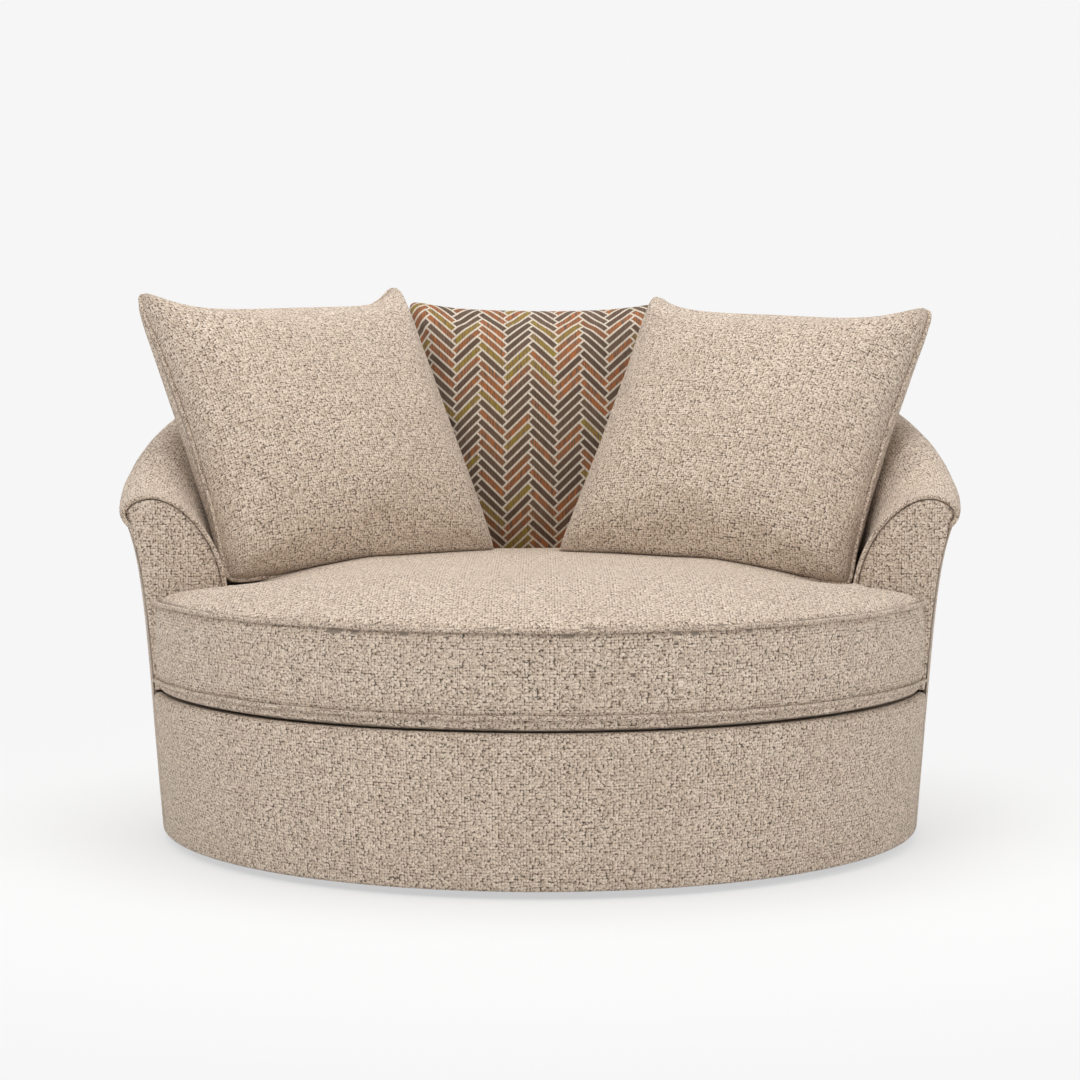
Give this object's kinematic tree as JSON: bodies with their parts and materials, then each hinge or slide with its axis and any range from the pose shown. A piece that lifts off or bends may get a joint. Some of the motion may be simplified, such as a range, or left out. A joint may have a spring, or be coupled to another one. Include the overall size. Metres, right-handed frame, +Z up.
{
  "type": "swivel cuddle chair",
  "caption": "Round drum-based swivel armchair with a wrap-around back, scrolled arms, a T-shaped box seat cushion, loose back pillows and a patterned scatter cushion.",
  "frame": {"origin": "on the floor, on the vertical axis of the hidden turntable, which is the middle of the round drum", "axes": "+X to the sitter's left, which is the right of the picture; +Y to the back; +Z up; the seat faces -Y"},
  "size_m": [1.3778, 1.3, 0.8917],
  "materials": {
    "upholstery": "chunky oatmeal chenille tweed",
    "piping": "self piping in the same tweed",
    "patterned_cloth": "brown jacquard with cream and rust bars",
    "deck_cloth": "plain deck cloth over felt",
    "lining": "non-woven lining",
    "seat_foam": "open-cell foam",
    "fibre_fill": "hollow-fibre wadding",
    "zip_tape": "woven zip tape with coil teeth",
    "zip_slider": "antiqued",
    "plywood": "raw birch plywood",
    "hardwood": "raw hardwood",
    "spring_steel": "drawn wire",
    "zinc_steel": "zinc plated",
    "glide_nylon": "moulded"
  },
  "bodies": {
    "swivel_base": {"floor_glide_1": "glide_nylon", "floor_glide_2": "glide_nylon", "floor_glide_3": "glide_nylon", "floor_glide_4": "glide_nylon", "floor_disc": "plywood", "lower_race_plate": "zinc_steel"},
    "ball_cage": {"ball_cage": "spring_steel"},
    "chair": {"outside_back_cover": "upholstery", "front_drum_cover": "upholstery", "inside_arms_and_back_pad": "upholstery", "left_arm_facing": "upholstery", "right_arm_facing": "upholstery", "left_facing_piping": "piping", "right_facing_piping": "piping", "bottom_ring": "plywood", "seat_ring": "plywood", "drum_post_1": "hardwood", "drum_post_2": "hardwood", "drum_post_3": "hardwood", "drum_post_4": "hardwood", "swivel_board": "plywood", "front_spring_rail": "hardwood", "rear_spring_rail": "hardwood", "seat_spring_1": "spring_steel", "seat_spring_2": "spring_steel", "seat_spring_3": "spring_steel", "seat_spring_4": "spring_steel", "seat_spring_5": "spring_steel", "back_top_rail": "plywood", "back_upright_1": "hardwood", "back_upright_2": "hardwood", "back_upright_3": "hardwood", "back_upright_4": "hardwood", "back_upright_5": "hardwood", "seat_deck_pad": "deck_cloth", "dust_cover": "lining", "upper_race_plate": "zinc_steel", "race_bolt_1": "zinc_steel", "race_bolt_2": "zinc_steel", "race_bolt_3": "zinc_steel", "race_bolt_4": "zinc_steel"},
    "seat_cushion": {"seat_cushion_cover": "upholstery", "seat_cushion_foam": "seat_foam", "seat_zip_tape": "zip_tape", "seat_piping_low": "piping", "seat_piping_high": "piping"},
    "seat_zip_slider": {"seat_zip_slider": "zip_slider"},
    "scatter_cushion": {"scatter_cover": "patterned_cloth", "scatter_fibre_pad": "fibre_fill", "scatter_zip_tape": "zip_tape"},
    "scatter_zip_slider": {"scatter_zip_slider": "zip_slider"},
    "left_pillow": {"left_pillow_cover": "upholstery", "left_pillow_fibre_pad": "fibre_fill", "left_pillow_zip_tape": "zip_tape"},
    "left_pillow_zip_slider": {"left_pillow_zip_slider": "zip_slider"},
    "right_pillow": {"right_pillow_cover": "upholstery", "right_pillow_fibre_pad": "fibre_fill", "right_pillow_zip_tape": "zip_tape"},
    "right_pillow_zip_slider": {"right_pillow_zip_slider": "zip_slider"}
  },
  "joints": [
    {"name": "chair_swivel", "type": "hinge", "parent": "swivel_base", "child": "chair", "pos_m": [0, 0, 0.0269], "axis": [0, 0, 1], "continuous": true},
    {"name": "ball_cage_roll", "type": "hinge", "parent": "swivel_base", "child": "ball_cage", "pos_m": [0, 0, 0.0269], "axis": [0, 0, 1], "continuous": true},
    {"name": "seat_cushion_lift", "type": "slide", "parent": "chair", "child": "seat_cushion", "axis": [0, 0, 1], "range_m": [0, 0.52]},
    {"name": "seat_zip", "type": "hinge", "parent": "seat_cushion", "child": "seat_zip_slider", "pos_m": [0, -0.06028, 0.3305], "axis": [0, 0, 1], "range_deg": [-33.3, 0]},
    {"name": "scatter_cushion_lift", "type": "slide", "parent": "seat_cushion", "child": "scatter_cushion", "axis": [0, 0, 1], "range_m": [0, 0.36]},
    {"name": "scatter_zip", "type": "hinge", "parent": "scatter_cushion", "child": "scatter_zip_slider", "pos_m": [0, -0.89141, 0.82733], "axis": [0, 0.2588, 0.9659], "range_deg": [-7.6, 0]},
    {"name": "left_pillow_lift", "type": "slide", "parent": "scatter_cushion", "child": "left_pillow", "axis": [0, 0, 1], "range_m": [0, 0.48]},
    {"name": "left_pillow_zip", "type": "hinge", "parent": "left_pillow", "child": "left_pillow_zip_slider", "pos_m": [0.13206, -0.50669, 0.94072], "axis": [-0.3266, 0.3986, 0.857], "range_deg": [-12.2, 0]},
    {"name": "right_pillow_lift", "type": "slide", "parent": "scatter_cushion", "child": "right_pillow", "axis": [0, 0, 1], "range_m": [0, 0.48]},
    {"name": "right_pillow_zip", "type": "hinge", "parent": "right_pillow", "child": "right_pillow_zip_slider", "pos_m": [-0.03262, -0.56515, 0.98899], "axis": [0.3143, 0.4824, 0.8176], "range_deg": [-12.2, 0]}
  ],
  "couplings": [
    {"joint": "ball_cage_roll", "follows": "chair_swivel", "ratio": 0.5}
  ]
}
